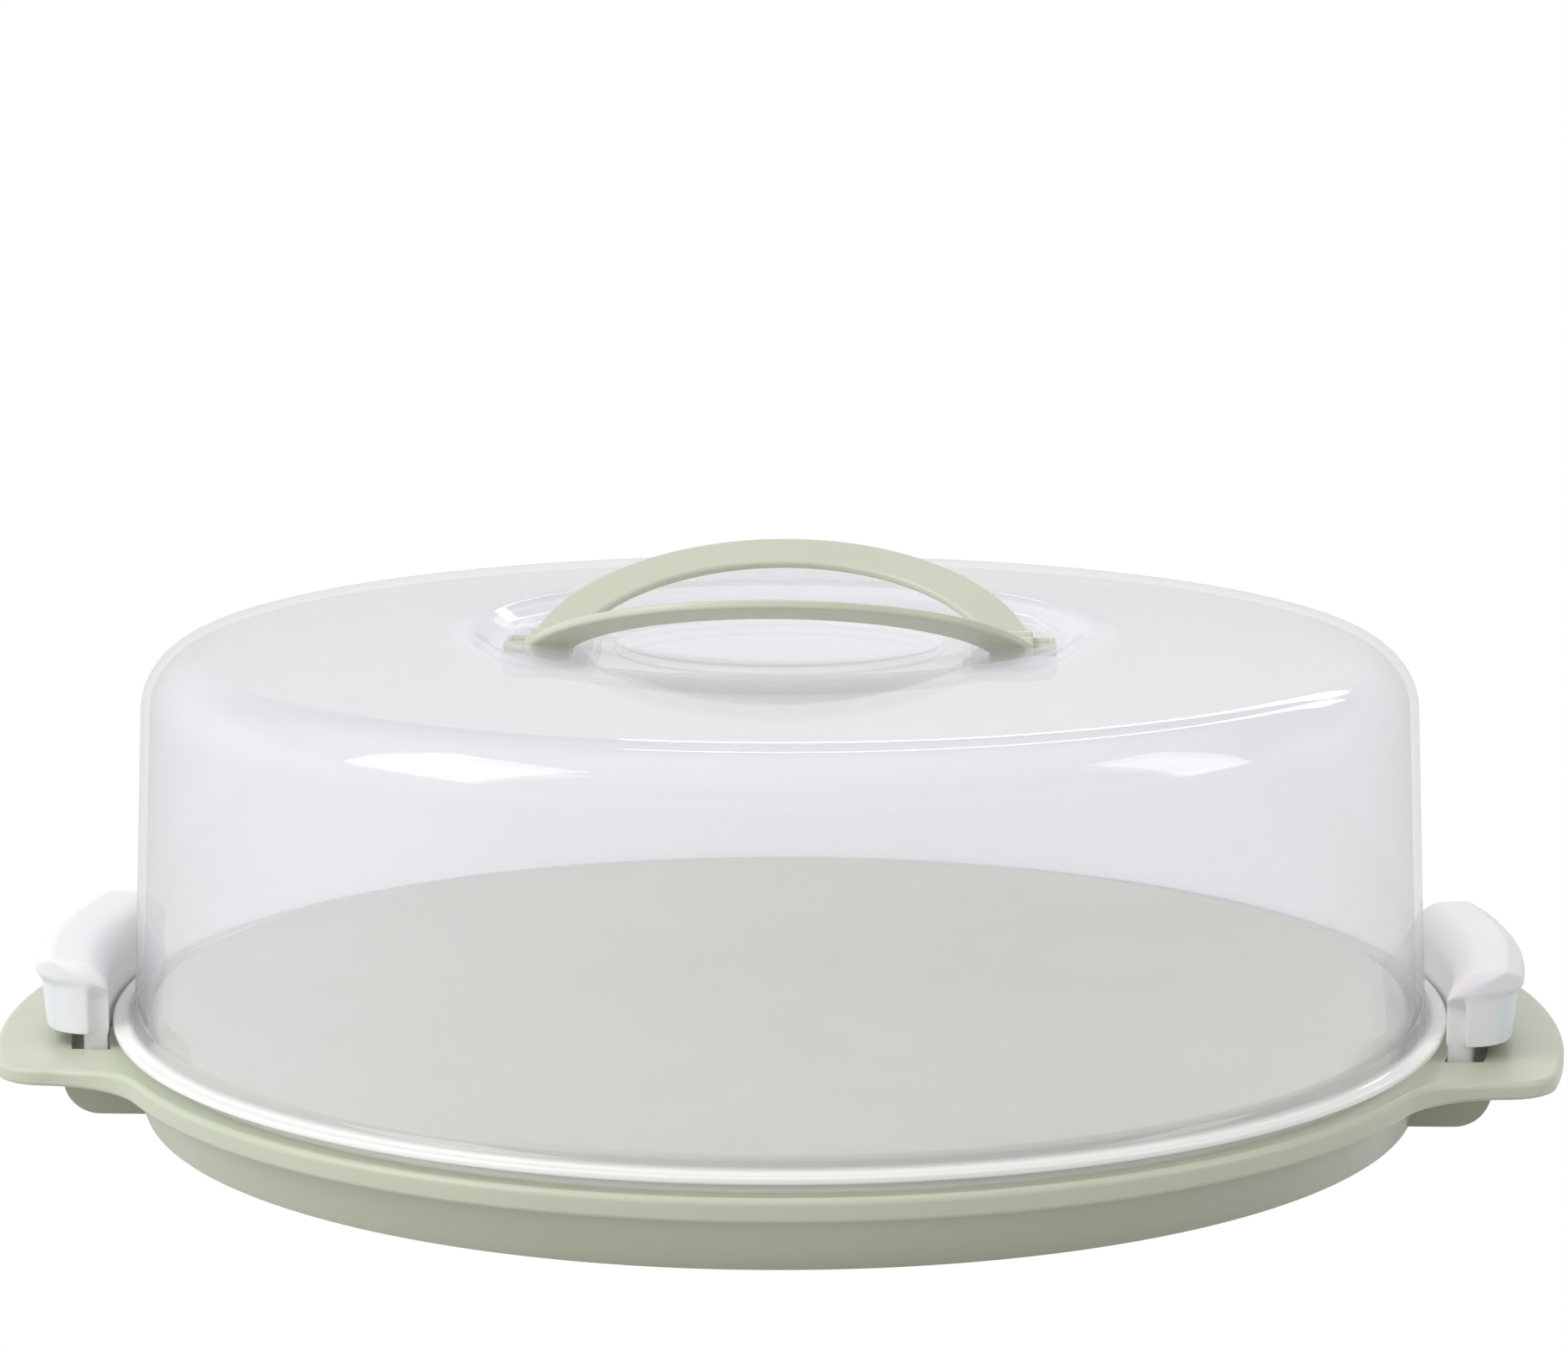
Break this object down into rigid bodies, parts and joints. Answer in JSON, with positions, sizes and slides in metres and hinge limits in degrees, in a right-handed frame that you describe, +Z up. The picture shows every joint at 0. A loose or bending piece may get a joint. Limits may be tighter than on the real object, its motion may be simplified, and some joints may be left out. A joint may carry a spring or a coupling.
{
  "type": "cake carrier",
  "caption": "Round cake carrier: eared tray, clear lift-off lid with folding bow handles in a recess, and hinged side clips.",
  "frame": {"origin": "middle of the tray's foot, on the surface that the carrier stands on", "axes": "+Z up through the lid's middle, +X through the right clip and ear, +Y towards the rear handle"},
  "size_m": [0.366, 0.3166, 0.1238],
  "materials": {
    "tray": "satin sage green moulded plastic",
    "lid": "clear glossy plastic with a faint lavender tint",
    "handle": "satin sage green moulded plastic",
    "clip": "frosted milky white moulded plastic"
  },
  "bodies": {
    "tray": {"base_tray": "tray"},
    "lid": {"lid_cover": "lid"},
    "front_handle": {"handle_front": "handle"},
    "rear_handle": {"handle_rear": "handle"},
    "left_clip": {"clip_left": "clip"},
    "right_clip": {"clip_right": "clip"}
  },
  "joints": [
    {"name": "lid_lift", "type": "slide", "parent": "tray", "child": "lid", "axis": [0, 0, 1], "range_m": [0, 0.13]},
    {"name": "front_handle_fold", "type": "hinge", "parent": "lid", "child": "front_handle", "pos_m": [0, -0.0045, 0.10522], "axis": [-1, 0, 0], "range_deg": [0, 69]},
    {"name": "rear_handle_fold", "type": "hinge", "parent": "lid", "child": "rear_handle", "pos_m": [0, 0.0045, 0.10522], "axis": [1, 0, 0], "range_deg": [0, 69]},
    {"name": "left_clip_open", "type": "hinge", "parent": "tray", "child": "left_clip", "pos_m": [-0.1585, 0, 0.0095], "axis": [0, -1, 0], "range_deg": [0, 12]},
    {"name": "right_clip_open", "type": "hinge", "parent": "tray", "child": "right_clip", "pos_m": [0.1585, 0, 0.0095], "axis": [0, 1, 0], "range_deg": [0, 12]}
  ]
}
